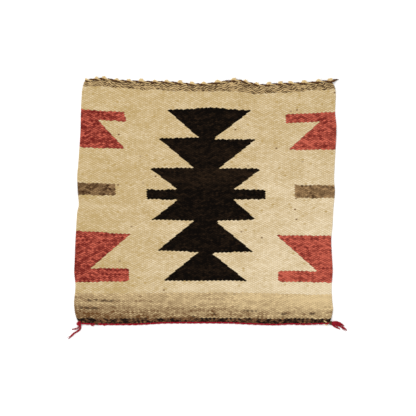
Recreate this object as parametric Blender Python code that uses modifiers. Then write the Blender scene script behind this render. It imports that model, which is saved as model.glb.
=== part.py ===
# A small hand-woven wool rug that lies flat: one woven cloth, the cords
# twined along its two ends, and a knotted tassel at each bottom corner.
# Metres, +Z up. +Y is the rug's top end and +X its right side, seen from
# above. The origin is on the floor, under the middle of the whole rug.
import math
from collections import namedtuple

import bmesh
import bpy
from mathutils import Matrix, Vector

MM = 0.001

# The cloth between its four corners, before its sides bow
TOP_LENGTH = 484 * MM
BOTTOM_LENGTH = 490 * MM
SIDE_LENGTH = 470 * MM
TOP_SHIFT = 7.6 * MM
TOP_DROP = 2 * MM
CLOTH_THICKNESS = 3.6 * MM
CLOTH_COLUMNS = 40
CLOTH_ROWS = 38

# The two-ply cords along the ends. The shoulder is where each ply is
# widest, as a share of the cord's half width.
CORD_WIDTH = 4.4 * MM
CORD_WAIST = 3.2 * MM
PLY_SHOULDER = 0.56
TOP_CORD_TWIST = 22.4 * MM
BOTTOM_CORD_TWIST = 23.4 * MM
STEPS_PER_TWIST = 8

# Where each cord stops, measured in from the cloth's corners
Inset = namedtuple("Inset", "left right")

TOP_CORD_INSET = Inset(left=1.5 * MM, right=3.0 * MM)
BOTTOM_CORD_INSET = Inset(left=5.0 * MM, right=0.6 * MM)

# The clearance that touching pieces keep, and how near two points are one
PIECE_GAP = 0.3 * MM
WELD_DISTANCE = 0.01 * MM

# How far each side of the cloth bows beyond the straight line between its
# corners, in mm. Negative is drawn in.
Bow = namedtuple("Bow", "along out")

LEFT_SIDE = [
    Bow(along=0, out=0),
    Bow(along=9, out=2.5),
    Bow(along=20, out=4.2),
    Bow(along=59, out=5.6),
    Bow(along=98, out=5.7),
    Bow(along=129, out=6.9),
    Bow(along=161, out=8.5),
    Bow(along=184, out=9.9),
    Bow(along=211, out=8.3),
    Bow(along=239, out=5.4),
    Bow(along=254, out=8.3),
    Bow(along=285, out=9.7),
    Bow(along=309, out=10.6),
    Bow(along=348, out=11.2),
    Bow(along=371, out=11.6),
    Bow(along=399, out=8.5),
    Bow(along=430, out=10.5),
    Bow(along=449, out=8.3),
    Bow(along=461, out=4.7),
    Bow(along=469, out=0),
]
RIGHT_SIDE = [
    Bow(along=0, out=0),
    Bow(along=8, out=4.6),
    Bow(along=22, out=6.8),
    Bow(along=57, out=6.2),
    Bow(along=85, out=8.6),
    Bow(along=120, out=8.1),
    Bow(along=159, out=6.3),
    Bow(along=190, out=5.3),
    Bow(along=213, out=7.2),
    Bow(along=241, out=4.9),
    Bow(along=284, out=2.8),
    Bow(along=307, out=0.9),
    Bow(along=334, out=2.3),
    Bow(along=369, out=4.5),
    Bow(along=397, out=2.7),
    Bow(along=424, out=3.7),
    Bow(along=443, out=5.6),
    Bow(along=457, out=3.4),
    Bow(along=469, out=0),
]
TOP_SIDE = [
    Bow(along=0, out=0),
    Bow(along=22, out=2.6),
    Bow(along=38, out=3.8),
    Bow(along=62, out=0.8),
    Bow(along=108, out=-1.5),
    Bow(along=167, out=-2.6),
    Bow(along=206, out=-6.0),
    Bow(along=241, out=-5.4),
    Bow(along=264, out=-2.0),
    Bow(along=300, out=1.2),
    Bow(along=323, out=-3.6),
    Bow(along=346, out=-7.2),
    Bow(along=374, out=-5.2),
    Bow(along=413, out=-3.6),
    Bow(along=444, out=-2.1),
    Bow(along=467, out=0.4),
    Bow(along=484, out=0),
]
BOTTOM_SIDE = [
    Bow(along=0, out=0),
    Bow(along=18, out=1.0),
    Bow(along=49, out=1.9),
    Bow(along=111, out=1.9),
    Bow(along=139, out=0.4),
    Bow(along=170, out=-1.0),
    Bow(along=290, out=-1.0),
    Bow(along=330, out=0.8),
    Bow(along=383, out=2.4),
    Bow(along=416, out=1.1),
    Bow(along=439, out=1.8),
    Bow(along=470, out=0.5),
    Bow(along=490, out=0),
]

# The soft rises of the cloth off the floor, in mm from the cloth's middle.
# Each is an oval mound that fades to nothing at its rim.
Rise = namedtuple("Rise", "right up long wide turn height")

RISES = [
    Rise(right=61, up=222, long=62, wide=34, turn=80, height=4.2),
    Rise(right=-232, up=232, long=52, wide=40, turn=-45, height=3.4),
    Rise(right=240, up=230, long=58, wide=42, turn=45, height=3.0),
    Rise(right=-238, up=-228, long=50, wide=38, turn=45, height=1.6),
    Rise(right=232, up=-228, long=56, wide=40, turn=-45, height=2.0),
    Rise(right=-246, up=14, long=70, wide=26, turn=8, height=2.8),
    Rise(right=244, up=140, long=60, wide=34, turn=-12, height=2.4),
    Rise(right=150, up=-62, long=96, wide=26, turn=-24, height=1.8),
    Rise(right=-130, up=-190, long=92, wide=24, turn=10, height=1.6),
]

# The end of the top cord past the right corner, and the tassel strands:
# points on the floor in mm from the piece's own start, with the yarn's width
Point = namedtuple("Point", "right up width")

CORD_END_FALL = 0.35
TOP_CORD_END = [
    Point(right=3.0, up=1.0, width=4.2),
    Point(right=6.0, up=2.2, width=4.2),
    Point(right=9.0, up=2.4, width=3.8),
    Point(right=12.0, up=1.9, width=3.0),
    Point(right=15.0, up=1.0, width=1.6),
]
LEFT_LONG_STRAND = [
    Point(right=0.6, up=-1.0, width=3.4),
    Point(right=2.4, up=-4.6, width=3.8),
    Point(right=1.0, up=-8.6, width=3.8),
    Point(right=-2.8, up=-11.9, width=3.6),
    Point(right=-7.0, up=-14.4, width=3.4),
    Point(right=-11.4, up=-17.2, width=3.6),
    Point(right=-14.2, up=-20.4, width=3.4),
    Point(right=-18.0, up=-24.2, width=2.2),
    Point(right=-21.4, up=-27.6, width=1.0),
]
LEFT_SHORT_STRAND = [
    Point(right=-0.4, up=-1.2, width=2.6),
    Point(right=-1.8, up=-5.2, width=2.6),
    Point(right=-5.6, up=-7.3, width=2.8),
    Point(right=-10.6, up=-7.7, width=2.6),
    Point(right=-14.0, up=-9.2, width=1.0),
]
RIGHT_UPPER_STRAND = [
    Point(right=1.2, up=0.8, width=3.6),
    Point(right=7.6, up=3.2, width=4.0),
    Point(right=13.0, up=2.0, width=3.6),
    Point(right=18.8, up=-1.4, width=3.4),
    Point(right=24.4, up=-4.4, width=1.4),
]
RIGHT_LONG_STRAND = [
    Point(right=1.6, up=-0.4, width=3.4),
    Point(right=9.0, up=-2.4, width=3.0),
    Point(right=16.6, up=-5.6, width=3.0),
    Point(right=22.2, up=-8.0, width=3.6),
    Point(right=26.4, up=-10.6, width=3.0),
    Point(right=30.2, up=-14.0, width=1.4),
]
RIGHT_LOWER_STRAND = [
    Point(right=0.8, up=-1.4, width=3.2),
    Point(right=5.0, up=-5.4, width=3.6),
    Point(right=10.2, up=-8.2, width=3.2),
    Point(right=16.4, up=-11.2, width=1.4),
]
LEFT_KNOT_SIZE = (8.4 * MM, 7.4 * MM, 5.0 * MM)
RIGHT_KNOT_SIZE = (6.6 * MM, 6.4 * MM, 4.8 * MM)
KNOT_SEGMENTS = 12
KNOT_RINGS = 8
KNOT_TURNS = 3
KNOT_RIDGE = 0.09


# Tools that several pieces share
def clear_scene():
    for old in list(bpy.data.objects):
        bpy.data.objects.remove(old, do_unlink=True)


def new_collection(name):
    collection = bpy.data.collections.new(name)
    bpy.context.scene.collection.children.link(collection)
    return collection


def put_in(obj, collection):
    for old in list(obj.users_collection):
        old.objects.unlink(obj)
    collection.objects.link(obj)


def wool(name, colour, roughness):
    material = bpy.data.materials.new(name)
    material.use_nodes = True
    shader = material.node_tree.nodes["Principled BSDF"]
    shader.inputs["Base Color"].default_value = (*colour, 1.0)
    shader.inputs["Roughness"].default_value = roughness
    shader.inputs["Metallic"].default_value = 0.0
    material.diffuse_color = (*colour, 1.0)
    return material


def dress(obj, material):
    obj.data.materials.clear()
    obj.data.materials.append(material)


def smooth_reading(stations, along):
    """The bow at a place along a side, on a smooth curve through the stations."""
    def slope(k):
        before = stations[max(k - 1, 0)]
        after = stations[min(k + 1, len(stations) - 1)]
        return (after.out - before.out) / (after.along - before.along)

    along = min(max(along, stations[0].along), stations[-1].along)
    k = 0
    while k < len(stations) - 2 and along > stations[k + 1].along:
        k += 1
    start = stations[k]
    end = stations[k + 1]
    span = end.along - start.along
    t = (along - start.along) / span
    return (
        (2 * t ** 3 - 3 * t ** 2 + 1) * start.out
        + (t ** 3 - 2 * t ** 2 + t) * span * slope(k)
        + (3 * t ** 2 - 2 * t ** 3) * end.out
        + (t ** 3 - t ** 2) * span * slope(k + 1)
    )


# The cloth's four corners, and its sides as places from 0 to 1 along them
TOP_LEFT = Vector((TOP_SHIFT - TOP_LENGTH / 2, SIDE_LENGTH / 2))
TOP_RIGHT = Vector((TOP_SHIFT + TOP_LENGTH / 2, SIDE_LENGTH / 2 - TOP_DROP))
BOTTOM_LEFT = Vector((-BOTTOM_LENGTH / 2, -SIDE_LENGTH / 2))
BOTTOM_RIGHT = Vector((BOTTOM_LENGTH / 2, -SIDE_LENGTH / 2))


def side_point(start, end, stations, outward, t):
    bow = smooth_reading(stations, t * stations[-1].along) * MM
    return start.lerp(end, t) + Vector(outward) * bow


def left_point(t):
    return side_point(TOP_LEFT, BOTTOM_LEFT, LEFT_SIDE, (-1, 0), t)


def right_point(t):
    return side_point(TOP_RIGHT, BOTTOM_RIGHT, RIGHT_SIDE, (1, 0), t)


def top_point(t):
    return side_point(TOP_LEFT, TOP_RIGHT, TOP_SIDE, (0, 1), t)


def bottom_point(t):
    return side_point(BOTTOM_LEFT, BOTTOM_RIGHT, BOTTOM_SIDE, (0, -1), t)


def cloth_point(across, down):
    """The place in the cloth, blended between its four bowed sides."""
    between_ends = top_point(across).lerp(bottom_point(across), down)
    between_sides = left_point(down).lerp(right_point(down), across)
    top_line = TOP_LEFT.lerp(TOP_RIGHT, across)
    bottom_line = BOTTOM_LEFT.lerp(BOTTOM_RIGHT, across)
    return between_ends + between_sides - top_line.lerp(bottom_line, down)


def lift(place):
    """The height of the cloth's underside off the floor at a place."""
    height = 0.0
    for rise in RISES:
        offset = place - Vector((rise.right, rise.up)) * MM
        turn = math.radians(rise.turn)
        along = offset.x * math.cos(turn) + offset.y * math.sin(turn)
        aside = offset.y * math.cos(turn) - offset.x * math.sin(turn)
        reach = (along / (rise.long * MM)) ** 2 + (aside / (rise.wide * MM)) ** 2
        if reach < 1:
            height = max(height, rise.height * MM * (1 - reach) ** 2)
    return height


# The woven cloth: a grid drawn onto the outline, given its thickness upwards
def make_cloth(collection, material):
    bpy.ops.mesh.primitive_grid_add(
        x_subdivisions=CLOTH_COLUMNS, y_subdivisions=CLOTH_ROWS, size=1
    )
    cloth = bpy.context.object
    cloth.name = "woven_cloth"
    for vertex in cloth.data.vertices:
        place = cloth_point(vertex.co.x + 0.5, 0.5 - vertex.co.y)
        vertex.co = (place.x, place.y, lift(place))
    thickness = cloth.modifiers.new("Thickness", "SOLIDIFY")
    thickness.thickness = CLOTH_THICKNESS
    thickness.offset = 1
    put_in(cloth, collection)
    dress(cloth, material)
    return cloth


# The end cords: two plies twisted round each other, laid along an end
def two_ply_section(name, guides):
    """The outline of two plies side by side, with a waist between them."""
    curve = bpy.data.curves.new(name, "CURVE")
    curve.dimensions = "2D"
    lobe = CORD_WIDTH / 2
    waist = CORD_WAIST / 2
    shoulder = lobe * PLY_SHOULDER
    corners = [
        (lobe, 0),
        (shoulder, -waist),
        (-shoulder, -waist),
        (-lobe, 0),
        (-shoulder, waist),
        (shoulder, waist),
    ]
    spline = curve.splines.new("POLY")
    spline.points.add(len(corners) - 1)
    for point, (x, y) in zip(spline.points, corners):
        point.co = (x, y, 0, 1)
    spline.use_cyclic_u = True
    section = bpy.data.objects.new(name, curve)
    section.hide_render = True
    section.display_type = "WIRE"
    guides.objects.link(section)
    return section


def cord_centre(place, outward):
    """The middle of a cord beside the cloth's edge at a place."""
    centre = place + outward * (PIECE_GAP + CORD_WIDTH / 2)
    return Vector((centre.x, centre.y, CORD_WIDTH / 2 + lift(place)))


def twisted_cord(name, stops, twist, section, collection, material):
    """A cord through (place, share of full width) stops, turning as it runs."""
    curve = bpy.data.curves.new(name, "CURVE")
    curve.dimensions = "3D"
    curve.twist_mode = "Z_UP"
    curve.bevel_mode = "OBJECT"
    curve.bevel_object = section
    curve.use_fill_caps = True
    spline = curve.splines.new("POLY")
    spline.points.add(len(stops) - 1)
    run = 0.0
    last = stops[0][0]
    for point, (place, share) in zip(spline.points, stops):
        run += (place - last).length
        last = place
        point.co = (*place, 1)
        point.radius = share
        point.tilt = math.tau * run / twist
    cord = bpy.data.objects.new(name, curve)
    collection.objects.link(cord)
    dress(cord, material)
    return cord


def edge_stops(side, length, inset, twist, outward):
    """Even stops along an end of the cloth, inset from its corners."""
    start = inset.left / length
    end = 1 - inset.right / length
    steps = round((end - start) * length / twist * STEPS_PER_TWIST)
    shares = [start + (end - start) * k / steps for k in range(steps + 1)]
    return [(cord_centre(side(t), outward), 1.0) for t in shares]


def make_top_cord(section, collection, material):
    outward = Vector((0, 1))
    stops = edge_stops(top_point, TOP_LENGTH, TOP_CORD_INSET, TOP_CORD_TWIST, outward)
    corner = stops[-1][0]
    for point in TOP_CORD_END:
        share = point.width * MM / CORD_WIDTH
        low = CORD_WIDTH / 2 * share
        height = max(low, corner.z - point.right * MM * CORD_END_FALL)
        place = Vector((corner.x + point.right * MM, corner.y + point.up * MM, height))
        stops.append((place, share))
    return twisted_cord("top_end_cord", stops, TOP_CORD_TWIST, section, collection, material)


def make_bottom_cord(section, collection, material):
    outward = Vector((0, -1))
    twist = BOTTOM_CORD_TWIST
    stops = edge_stops(bottom_point, BOTTOM_LENGTH, BOTTOM_CORD_INSET, twist, outward)
    return twisted_cord("bottom_end_cord", stops, twist, section, collection, material)


# The tassels: a wound knot at a corner, with yarn strands lying on the floor
def make_knot(name, centre, size):
    """A rounded knot with the ridges of its turns raised round it."""
    bpy.ops.mesh.primitive_uv_sphere_add(
        segments=KNOT_SEGMENTS, ring_count=KNOT_RINGS, radius=0.5
    )
    knot = bpy.context.object
    knot.name = name
    for vertex in knot.data.vertices:
        turn = math.atan2(vertex.co.y, vertex.co.x)
        slope = vertex.co.z * math.tau * KNOT_TURNS
        fade = 1 - abs(vertex.co.z) * 2
        ridge = 1 + KNOT_RIDGE * math.cos(turn + slope) * fade
        vertex.co.x *= ridge * size[0]
        vertex.co.y *= ridge * size[1]
        vertex.co.z *= size[2]
    knot.data.transform(Matrix.Translation((centre.x, centre.y, size[2] / 2)))
    return knot


def make_strand(name, centre, points):
    """A four-sided tapering strand, flat side down on the floor, as a mesh."""
    curve = bpy.data.curves.new(name, "CURVE")
    curve.dimensions = "3D"
    curve.twist_mode = "Z_UP"
    curve.bevel_depth = 1 * MM
    curve.bevel_resolution = 0
    curve.use_fill_caps = True
    spline = curve.splines.new("POLY")
    spline.points.add(len(points) - 1)
    for target, point in zip(spline.points, points):
        half_side = point.width * MM / 2
        right = centre.x + point.right * MM
        up = centre.y + point.up * MM
        target.co = (right, up, half_side, 1)
        target.radius = half_side * math.sqrt(2) / MM
        target.tilt = math.pi / 4
    guide = bpy.data.objects.new(name, curve)
    bpy.context.scene.collection.objects.link(guide)
    graph = bpy.context.evaluated_depsgraph_get()
    mesh = bpy.data.meshes.new_from_object(guide.evaluated_get(graph))
    bpy.data.objects.remove(guide, do_unlink=True)
    loose = bmesh.new()
    loose.from_mesh(mesh)
    bmesh.ops.remove_doubles(loose, verts=loose.verts, dist=WELD_DISTANCE)
    bmesh.ops.recalc_face_normals(loose, faces=loose.faces)
    loose.to_mesh(mesh)
    loose.free()
    return bpy.data.objects.new(name, mesh)


def make_tassel(name, centre, size, strands, collection, guides, material):
    """A knot with its strands' roots joined into it."""
    tassel = make_knot(name, centre, size)
    put_in(tassel, collection)
    dress(tassel, material)
    for number, points in enumerate(strands, start=1):
        strand = make_strand(f"{name}_strand_{number}", centre, points)
        strand.hide_render = True
        strand.display_type = "WIRE"
        guides.objects.link(strand)
        joint = tassel.modifiers.new(f"Strand {number}", "BOOLEAN")
        joint.operation = "UNION"
        joint.solver = "EXACT"
        joint.object = strand
    return tassel


def past_cord_end(t, size, aside):
    """A knot's middle, just past an end of the bottom cord and below the cloth."""
    corner = bottom_point(t)
    swell = (1 + KNOT_RIDGE) / 2
    right = corner.x + aside * (size[0] * swell + PIECE_GAP)
    return Vector((right, corner.y - size[1] * swell - PIECE_GAP))


def make_tassels(collection, guides, material):
    cord_start = BOTTOM_CORD_INSET.left / BOTTOM_LENGTH
    cord_end = 1 - BOTTOM_CORD_INSET.right / BOTTOM_LENGTH
    left = past_cord_end(cord_start, LEFT_KNOT_SIZE, -1)
    right = past_cord_end(cord_end, RIGHT_KNOT_SIZE, 1)
    make_tassel(
        "bottom_left_tassel",
        left,
        LEFT_KNOT_SIZE,
        [LEFT_LONG_STRAND, LEFT_SHORT_STRAND],
        collection,
        guides,
        material,
    )
    make_tassel(
        "bottom_right_tassel",
        right,
        RIGHT_KNOT_SIZE,
        [RIGHT_UPPER_STRAND, RIGHT_LONG_STRAND, RIGHT_LOWER_STRAND],
        collection,
        guides,
        material,
    )


def centre_on_floor(collection, guides):
    """Moves the whole rug so that the origin is under its middle."""
    bpy.context.view_layer.update()
    graph = bpy.context.evaluated_depsgraph_get()
    corners = []
    for obj in collection.objects:
        whole = obj.evaluated_get(graph)
        mesh = whole.to_mesh()
        corners.extend(whole.matrix_world @ vertex.co for vertex in mesh.vertices)
        whole.to_mesh_clear()
    low = Vector([min(corner[axis] for corner in corners) for axis in range(3)])
    high = Vector([max(corner[axis] for corner in corners) for axis in range(3)])
    shift = Vector((-(low.x + high.x) / 2, -(low.y + high.y) / 2, -low.z))
    for obj in list(collection.objects) + list(guides.objects):
        obj.location += shift


clear_scene()
rug = new_collection("navajo_rug")
guides = new_collection("guides")
cream_wool = wool("cream wool", (0.62, 0.47, 0.25), 0.95)
brown_cord_wool = wool("brown and cream cord wool", (0.20, 0.12, 0.06), 0.92)
crimson_wool = wool("crimson wool", (0.25, 0.02, 0.03), 0.88)
section = two_ply_section("two_ply_section", guides)
make_cloth(rug, cream_wool)
make_top_cord(section, rug, brown_cord_wool)
make_bottom_cord(section, rug, crimson_wool)
make_tassels(rug, guides, crimson_wool)
centre_on_floor(rug, guides)
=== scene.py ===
# A small hand-woven wool rug lying flat on a pale floor, seen from straight
# above. The script weaves the cloth bead by bead, then adds the cords twined
# along its two ends and the tassels at its bottom corners. Metres, +Z up.
import math
from collections import namedtuple

import bpy
import numpy as np
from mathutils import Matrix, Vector


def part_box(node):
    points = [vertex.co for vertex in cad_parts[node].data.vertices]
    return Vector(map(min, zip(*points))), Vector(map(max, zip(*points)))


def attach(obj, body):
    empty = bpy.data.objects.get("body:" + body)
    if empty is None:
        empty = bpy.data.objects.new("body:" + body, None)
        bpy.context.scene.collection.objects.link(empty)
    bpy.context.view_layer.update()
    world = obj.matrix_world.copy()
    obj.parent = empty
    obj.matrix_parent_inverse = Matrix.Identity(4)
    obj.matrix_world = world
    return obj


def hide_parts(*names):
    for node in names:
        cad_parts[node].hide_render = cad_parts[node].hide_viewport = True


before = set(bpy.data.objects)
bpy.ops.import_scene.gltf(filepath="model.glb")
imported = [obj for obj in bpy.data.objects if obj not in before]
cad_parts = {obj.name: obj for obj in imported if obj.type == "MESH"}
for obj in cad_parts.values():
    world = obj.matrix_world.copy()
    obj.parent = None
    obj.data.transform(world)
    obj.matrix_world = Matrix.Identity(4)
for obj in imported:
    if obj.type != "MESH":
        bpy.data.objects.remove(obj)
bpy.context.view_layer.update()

MM = 0.001


# The lie of the cloth. The four sides bow a little between the corners, as
# the warps were never quite even, and the wool keeps soft rises off the floor
# where it was folded or carried. Bows and rises are in mm, as in the part.
Bow = namedtuple("Bow", "along out")
Rise = namedtuple("Rise", "right up long wide turn height")

LEFT_SIDE = [
    Bow(0, 0), Bow(9, 2.5), Bow(20, 4.2), Bow(59, 5.6), Bow(98, 5.7), Bow(129, 6.9),
    Bow(161, 8.5), Bow(184, 9.9), Bow(211, 8.3), Bow(239, 5.4), Bow(254, 8.3),
    Bow(285, 9.7), Bow(309, 10.6), Bow(348, 11.2), Bow(371, 11.6), Bow(399, 8.5),
    Bow(430, 10.5), Bow(449, 8.3), Bow(461, 4.7), Bow(469, 0),
]
RIGHT_SIDE = [
    Bow(0, 0), Bow(8, 4.6), Bow(22, 6.8), Bow(57, 6.2), Bow(85, 8.6), Bow(120, 8.1),
    Bow(159, 6.3), Bow(190, 5.3), Bow(213, 7.2), Bow(241, 4.9), Bow(284, 2.8),
    Bow(307, 0.9), Bow(334, 2.3), Bow(369, 4.5), Bow(397, 2.7), Bow(424, 3.7),
    Bow(443, 5.6), Bow(457, 3.4), Bow(469, 0),
]
TOP_SIDE = [
    Bow(0, 0), Bow(22, 2.6), Bow(38, 3.8), Bow(62, 0.8), Bow(108, -1.5),
    Bow(167, -2.6), Bow(206, -6.0), Bow(241, -5.4), Bow(264, -2.0), Bow(300, 1.2),
    Bow(323, -3.6), Bow(346, -7.2), Bow(374, -5.2), Bow(413, -3.6), Bow(444, -2.1),
    Bow(467, 0.4), Bow(484, 0),
]
BOTTOM_SIDE = [
    Bow(0, 0), Bow(18, 1.0), Bow(49, 1.9), Bow(111, 1.9), Bow(139, 0.4),
    Bow(170, -1.0), Bow(290, -1.0), Bow(330, 0.8), Bow(383, 2.4), Bow(416, 1.1),
    Bow(439, 1.8), Bow(470, 0.5), Bow(490, 0),
]
RISES = [
    Rise(right=61, up=222, long=62, wide=34, turn=80, height=4.2),
    Rise(right=-232, up=232, long=52, wide=40, turn=-45, height=3.4),
    Rise(right=240, up=230, long=58, wide=42, turn=45, height=3.0),
    Rise(right=-238, up=-228, long=50, wide=38, turn=45, height=1.6),
    Rise(right=232, up=-228, long=56, wide=40, turn=-45, height=2.0),
    Rise(right=-246, up=14, long=70, wide=26, turn=8, height=2.8),
    Rise(right=244, up=140, long=60, wide=34, turn=-12, height=2.4),
    Rise(right=150, up=-62, long=96, wide=26, turn=-24, height=1.8),
    Rise(right=-130, up=-190, long=92, wide=24, turn=10, height=1.6),
]
TOP_LEFT = np.array((-234.4, 235.0)) * MM
TOP_RIGHT = np.array((249.6, 233.0)) * MM
BOTTOM_LEFT = np.array((-245.0, -235.0)) * MM
BOTTOM_RIGHT = np.array((245.0, -235.0)) * MM


def bow_at(stations, shares):
    """How far a side bows out at shares of its length, in metres."""
    along = np.array([station.along for station in stations], float)
    out = np.array([station.out for station in stations], float)
    slopes = np.empty(len(along))
    slopes[1:-1] = (out[2:] - out[:-2]) / (along[2:] - along[:-2])
    slopes[0] = (out[1] - out[0]) / (along[1] - along[0])
    slopes[-1] = (out[-1] - out[-2]) / (along[-1] - along[-2])
    place = np.clip(np.asarray(shares, float), 0, 1) * along[-1]
    k = np.clip(np.searchsorted(along, place, side="left") - 1, 0, len(along) - 2)
    span = along[k + 1] - along[k]
    t = (place - along[k]) / span
    bow = (
        (2 * t ** 3 - 3 * t ** 2 + 1) * out[k]
        + (t ** 3 - 2 * t ** 2 + t) * span * slopes[k]
        + (3 * t ** 2 - 2 * t ** 3) * out[k + 1]
        + (t ** 3 - t ** 2) * span * slopes[k + 1]
    )
    return bow * MM


def side_points(start, end, stations, outward, shares):
    shares = np.asarray(shares, float)
    line = start + (end - start) * shares[..., None]
    return line + np.array(outward) * bow_at(stations, shares)[..., None]


def top_points(shares):
    return side_points(TOP_LEFT, TOP_RIGHT, TOP_SIDE, (0.0, 1.0), shares)


def bottom_points(shares):
    return side_points(BOTTOM_LEFT, BOTTOM_RIGHT, BOTTOM_SIDE, (0.0, -1.0), shares)


def cloth_points(across, down):
    """Places in the cloth, blended between its four bowed sides."""
    left = side_points(TOP_LEFT, BOTTOM_LEFT, LEFT_SIDE, (-1.0, 0.0), down)
    right = side_points(TOP_RIGHT, BOTTOM_RIGHT, RIGHT_SIDE, (1.0, 0.0), down)
    a = np.asarray(across, float)[..., None]
    d = np.asarray(down, float)[..., None]
    ends = top_points(across) * (1 - d) + bottom_points(across) * d
    sides = left * (1 - a) + right * a
    top_line = TOP_LEFT + (TOP_RIGHT - TOP_LEFT) * a
    bottom_line = BOTTOM_LEFT + (BOTTOM_RIGHT - BOTTOM_LEFT) * a
    return ends + sides - top_line * (1 - d) - bottom_line * d


def lift(places):
    """The height of the cloth's underside off the floor at places."""
    height = np.zeros(places.shape[:-1])
    for rise in RISES:
        offset = places - np.array((rise.right, rise.up)) * MM
        turn = math.radians(rise.turn)
        along = offset[..., 0] * math.cos(turn) + offset[..., 1] * math.sin(turn)
        aside = offset[..., 1] * math.cos(turn) - offset[..., 0] * math.sin(turn)
        reach = (along / (rise.long * MM)) ** 2 + (aside / (rise.wide * MM)) ** 2
        mound = rise.height * MM * np.clip(1 - reach, 0, 1) ** 2
        height = np.maximum(height, mound)
    return height


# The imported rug's origin is under the middle of the whole rug, tassels and
# all, so everything drawn about the cloth's own middle moves by this much
edge = np.linspace(0, 1, 400)
rim = np.concatenate([
    cloth_points(edge, edge * 0),
    cloth_points(edge, edge * 0 + 1),
    cloth_points(edge * 0, edge),
    cloth_points(edge * 0 + 1, edge),
])
low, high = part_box("woven_cloth")
SHIFT = np.array((
    (low.x + high.x - rim[:, 0].min() - rim[:, 0].max()) / 2,
    (low.y + high.y - rim[:, 1].min() - rim[:, 1].max()) / 2,
))


# The weave. Wool wefts pass over and under 123 warps and are beaten down so
# hard that no warp shows. Each warp carries a column of rounded beads, the
# beads of neighbouring columns sit half a bead apart, and the ends of each
# bead reach in between its neighbours.
WARPS = 123
ROWS = 108
CLOTH_THICKNESS = 3.6 * MM
VALLEY = 0.95 * MM
RIM = 1.3 * MM
WARP_PITCH = 4.0
ROW_PITCH = 473.0 / ROWS
REACH = 0.44
REACH_AT_SIDE = 0.2 * REACH
LEAN = 0.12
UNDERSIDE_DIP = 0.8

line, step = np.meshgrid(np.arange(WARPS + 1), np.arange(2 * ROWS + 1), indexing="ij")
side = np.where((step - line) % 2 == 0, 1.0, -1.0)
at_end = (step == 0) | (step == 2 * ROWS)
at_side = (line == 0) | (line == WARPS)
reach = np.where(at_end, 0.0, np.where(at_side, REACH_AT_SIDE, REACH)) * side
lean = np.where(at_end | at_side, 0.0, LEAN) * side
line_flat = cloth_points((line + reach) / WARPS, (step + lean) / (2 * ROWS))

bead_table = []
for warp in range(WARPS):
    stops = list(range(warp % 2, 2 * ROWS + 1, 2))
    if warp % 2:
        stops = [0] + stops + [2 * ROWS]
    bead_table += [(warp, start, stop) for start, stop in zip(stops, stops[1:])]
bead_warp, bead_start, bead_stop = np.array(bead_table).T
bead_middle = (bead_start + bead_stop) / 2
bead_half = (bead_stop - bead_start) / 2
bead_places = cloth_points((bead_warp + 0.5) / WARPS, bead_middle / (2 * ROWS)) + SHIFT


def inside(outline, places):
    """Which places lie inside an outline of corners given in mm."""
    corners = np.array(outline) * MM
    x = places[:, 0]
    y = places[:, 1]
    found = np.zeros(len(places), bool)
    for (x1, y1), (x2, y2) in zip(corners, np.roll(corners, -1, axis=0)):
        if y1 == y2:
            continue
        crosses = (y1 > y) != (y2 > y)
        found ^= crosses & (x < (x2 - x1) * (y - y1) / (y2 - y1) + x1)
    return found


# The pattern: where the weaver changed yarn, as corners in mm from the rug's
# middle, read off the photo. The small steps along the slants are the beads'.
CENTRE_FIGURE = [
    (-79.3, 192.8), (-34.4, 194.1), (0.7, 196.9), (14.3, 196.9), (47.5, 193.4),
    (85.5, 191.4), (10.4, 134.9), (94.3, 134.9), (22.1, 78.3), (106.0, 77.9),
    (50.4, 37.0), (111.8, 36.8), (111.8, 17.9), (50.2, 16.9), (95.1, -22.1),
    (14.3, -24.1), (88.4, -84.5), (6.5, -86.5), (76.7, -141.5), (-87.1, -141.1),
    (-18.0, -85.5), (-97.2, -81.6), (-26.0, -24.1), (-108.1, -21.7), (-57.8, 16.9),
    (-120.2, 17.9), (-120.2, 36.8), (-57.8, 36.8), (-114.0, 78.9), (-27.6, 79.7),
    (-96.0, 136.8), (-17.9, 138.8),
]
RED_FIGURES = [
    [(-288, 196.3), (-161.2, 187.5), (-160.6, 169.6), (-215.2, 173.3),
     (-161.2, 116.3), (-288, 120.2)],
    [(151.8, 183.6), (278, 189.5), (278, 115.4), (157.6, 114.4), (220.0, 170.0),
     (152.8, 166.1)],
    [(-288, -41.6), (-150.5, -50.4), (-228.5, -116.7), (-153.4, -117.7),
     (-153.4, -142.0), (-288, -145.0)],
    [(134.2, -52.3), (278, -54.3), (278, -145.9), (138.1, -143.0),
     (138.1, -121.6), (215.2, -123.1)],
]
SIDE_BARS = [
    [(-288, 50.6), (-179.7, 48.3), (-179.7, 24.9), (-288, 27.6)],
    [(169.3, 45.6), (278, 45.6), (278, 20.2), (169.3, 20.2)],
]
TOP_BAND = [
    (-288, 300), (-288, 237.6), (-237.2, 237.6), (-206.0, 237.8), (-174.8, 234.3),
    (-159.2, 235.7), (-128.0, 231.4), (-96.8, 232.0), (-65.6, 229.8), (-34.4, 228.5),
    (-3.2, 228.1), (28.0, 229.6), (59.2, 227.7), (74.8, 225.9), (90.4, 223.8),
    (106.0, 223.8), (121.6, 225.5), (152.8, 225.9), (168.4, 226.9), (184.0, 228.3),
    (199.6, 230.8), (230.8, 230.6), (246.4, 233.9), (288, 234.3), (288, 300),
]
BOTTOM_BAND = [
    (-288, -166.4), (-170.9, -166.4), (-73.4, -164.5), (63.1, -164.5),
    (160.6, -167.4), (207.4, -168.6), (288, -166.4), (288, -300), (-288, -300),
]
END_STRIP = [
    (-288, -214.8), (-73.4, -214.6), (4.6, -213.8), (82.6, -214.6),
    (180.1, -215.4), (288, -215.2), (288, -300), (-288, -300),
]

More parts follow.
